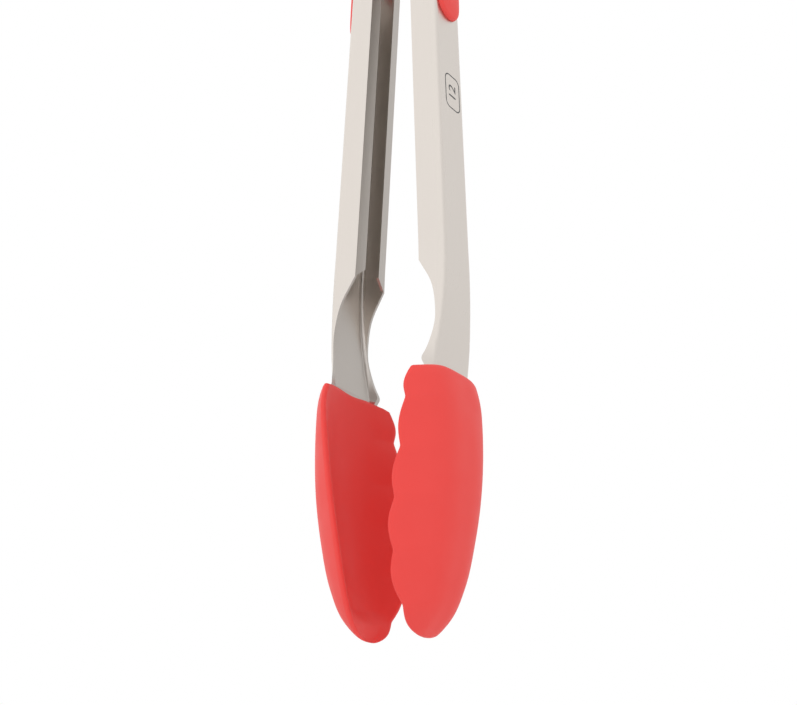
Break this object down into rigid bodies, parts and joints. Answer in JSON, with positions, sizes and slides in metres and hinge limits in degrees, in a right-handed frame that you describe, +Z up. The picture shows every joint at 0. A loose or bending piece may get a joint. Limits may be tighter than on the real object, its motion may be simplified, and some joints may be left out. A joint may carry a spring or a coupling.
{
  "type": "spring loaded kitchen tongs",
  "caption": "Spring loaded kitchen tongs with steel channel arms, soft scalloped heads, thumb pads and a pull-up lock with a hanging loop.",
  "frame": {"origin": "centre of the hole in the hanging loop, with the lock pushed in", "axes": "+Z up along the tongs from the tips to the hinge, X the way the arms open, +Y along the hinge pin"},
  "size_m": [0.0516, 0.042, 0.3323],
  "materials": {
    "arm_steel": "satin brushed along the arm",
    "head_silicone": "matte coral red silicone",
    "pad_silicone": "matte coral red silicone",
    "pin_steel": "turned, satin",
    "spring_wire": "drawn wire, bright",
    "lock_steel": "stamped, satin",
    "loop_silicone": "matte coral red silicone"
  },
  "bodies": {
    "hinge": {"hinge_pin": "pin_steel", "pin_washer": "pin_steel", "spring_front": "spring_wire", "spring_back": "spring_wire"},
    "left_arm": {"left_arm": "arm_steel", "left_head": "head_silicone", "left_thumb_pad": "pad_silicone"},
    "right_arm": {"right_arm": "arm_steel", "right_head": "head_silicone", "right_thumb_pad": "pad_silicone"},
    "lock": {"lock_plate": "lock_steel", "hang_loop": "loop_silicone"}
  },
  "joints": [
    {"name": "left_arm_swing", "type": "hinge", "parent": "hinge", "child": "left_arm", "pos_m": [0, 0, -0.024], "axis": [0, 1, 0], "range_deg": [-1.7, 10], "stiffness_Nm_per_rad": 0.65, "springref_deg": 21, "deforming": ["spring_front", "spring_back"]},
    {"name": "right_arm_swing", "type": "hinge", "parent": "hinge", "child": "right_arm", "pos_m": [0, 0, -0.024], "axis": [0, -1, 0], "range_deg": [-1.7, 10], "stiffness_Nm_per_rad": 0.65, "springref_deg": 21},
    {"name": "lock_slide", "type": "slide", "parent": "hinge", "child": "lock", "axis": [0, 0, 1], "range_m": [0, 0.009]}
  ],
  "couplings": [
    {"joint": "right_arm_swing", "follows": "left_arm_swing", "ratio": 1}
  ]
}
